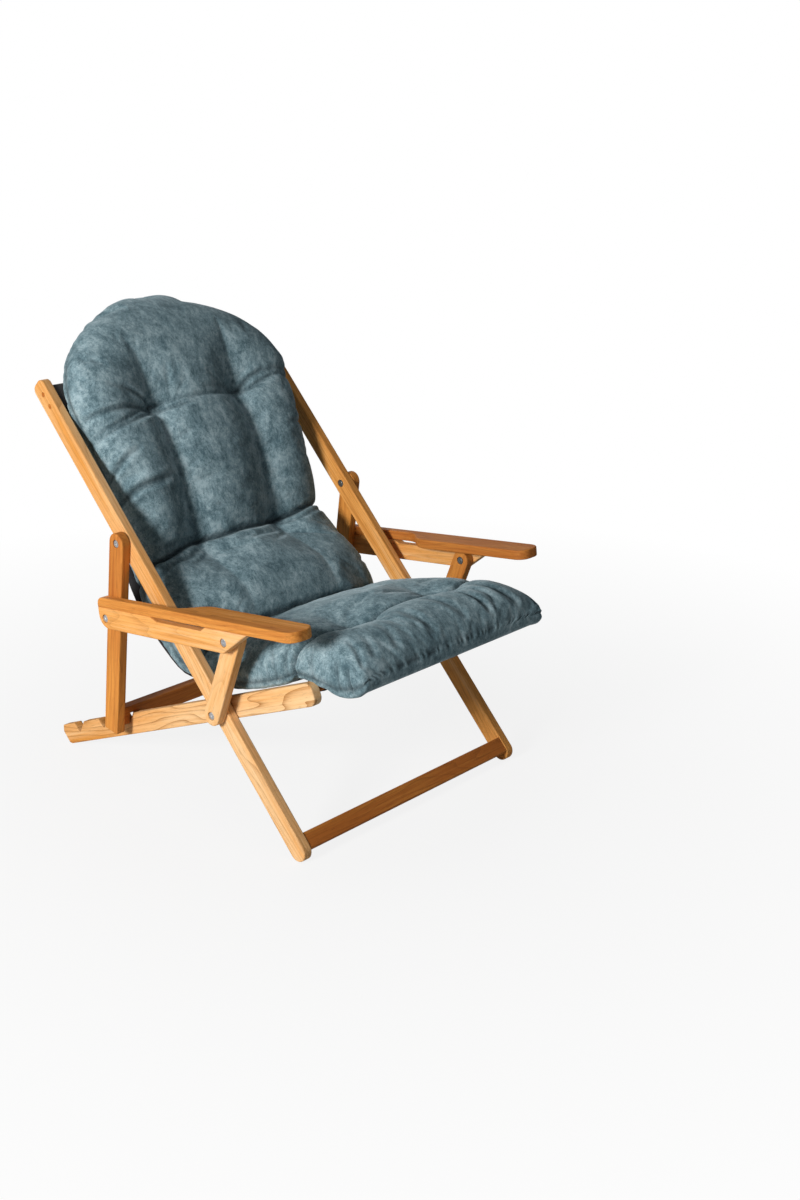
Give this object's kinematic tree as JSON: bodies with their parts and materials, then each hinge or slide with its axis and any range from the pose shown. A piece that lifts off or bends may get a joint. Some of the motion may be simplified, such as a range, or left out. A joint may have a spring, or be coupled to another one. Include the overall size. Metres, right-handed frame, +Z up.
{
  "type": "reclining folding armchair",
  "caption": "Folding reclining armchair with crossed wooden rails, prop posts in notched rails, flat arm boards, a hanging fabric sling and a tufted mattress cushion",
  "frame": {"origin": "centre of the bounding box in X and Y, on the floor at Z = 0", "axes": "+X across the chair to the sitter's left, -Y the front, +Z up"},
  "size_m": [0.701, 0.9136, 0.9272],
  "materials": {
    "oiled_wood": "oiled, with a clear grain",
    "dowel_wood": "oiled end grain",
    "steel": "satin",
    "cushion_cloth": "brushed velour, mottled",
    "sling_cloth": "flat woven"
  },
  "bodies": {
    "seat_frame": {"seat_rail_right": "oiled_wood", "seat_rail_left": "oiled_wood", "seat_crossbar": "oiled_wood", "seat_crossbar_dowels": "dowel_wood", "main_bolts": "steel", "main_nuts": "steel", "main_washers": "steel", "seat_cushion": "cushion_cloth", "seat_cushion_buttons": "cushion_cloth"},
    "back_frame": {"back_rail_right": "oiled_wood", "back_rail_left": "oiled_wood", "top_crossbar": "oiled_wood", "top_crossbar_screws": "steel", "top_crossbar_plugs": "dowel_wood", "foot_crossbar": "oiled_wood", "foot_crossbar_dowels": "dowel_wood", "prop_bolts": "steel", "prop_nuts": "steel", "prop_washers": "steel", "back_cushion": "cushion_cloth", "back_cushion_buttons": "cushion_cloth", "sling": "sling_cloth"},
    "prop_frame": {"prop_post_right": "oiled_wood", "prop_post_left": "oiled_wood", "prop_crossbar": "oiled_wood", "prop_crossbar_dowels": "dowel_wood", "arm_rear_nuts": "steel"},
    "strut_right": {"arm_strut_right": "oiled_wood"},
    "strut_left": {"arm_strut_left": "oiled_wood"},
    "arm_right": {"arm_plate_right": "oiled_wood", "arm_board_right": "oiled_wood", "arm_dowels_right": "dowel_wood", "arm_bolts_right": "steel", "arm_washers_right": "steel", "arm_front_nut_right": "steel"},
    "arm_left": {"arm_plate_left": "oiled_wood", "arm_board_left": "oiled_wood", "arm_dowels_left": "dowel_wood", "arm_bolts_left": "steel", "arm_washers_left": "steel", "arm_front_nut_left": "steel"}
  },
  "joints": [
    {"name": "back_fold", "type": "hinge", "parent": "seat_frame", "child": "back_frame", "pos_m": [0, -0.12662, 0.241], "axis": [1, 0, 0], "range_deg": [-66, 0], "deforming": ["sling", "seat_cushion"]},
    {"name": "prop_swing", "type": "hinge", "parent": "back_frame", "child": "prop_frame", "pos_m": [0, 0.13986, 0.52576], "axis": [1, 0, 0], "range_deg": [0, 123.9]},
    {"name": "strut_swing_right", "type": "hinge", "parent": "back_frame", "child": "strut_right", "pos_m": [0, -0.12662, 0.241], "axis": [1, 0, 0], "range_deg": [-63.4, 0]},
    {"name": "strut_swing_left", "type": "hinge", "parent": "back_frame", "child": "strut_left", "pos_m": [0, -0.12662, 0.241], "axis": [1, 0, 0], "range_deg": [-63.4, 0]},
    {"name": "arm_swing_right", "type": "hinge", "parent": "strut_right", "child": "arm_right", "pos_m": [0, -0.19566, 0.41371], "axis": [1, 0, 0], "range_deg": [0, 114]},
    {"name": "arm_swing_left", "type": "hinge", "parent": "strut_left", "child": "arm_left", "pos_m": [0, -0.19566, 0.41371], "axis": [1, 0, 0], "range_deg": [0, 114]}
  ],
  "couplings": [
    {"joint": "prop_swing", "follows": "back_fold", "ratio": -1.8758},
    {"joint": "strut_swing_right", "follows": "back_fold", "ratio": 0.9588},
    {"joint": "strut_swing_left", "follows": "back_fold", "ratio": 0.9588},
    {"joint": "arm_swing_right", "follows": "back_fold", "ratio": -1.7261},
    {"joint": "arm_swing_left", "follows": "back_fold", "ratio": -1.7261}
  ]
}
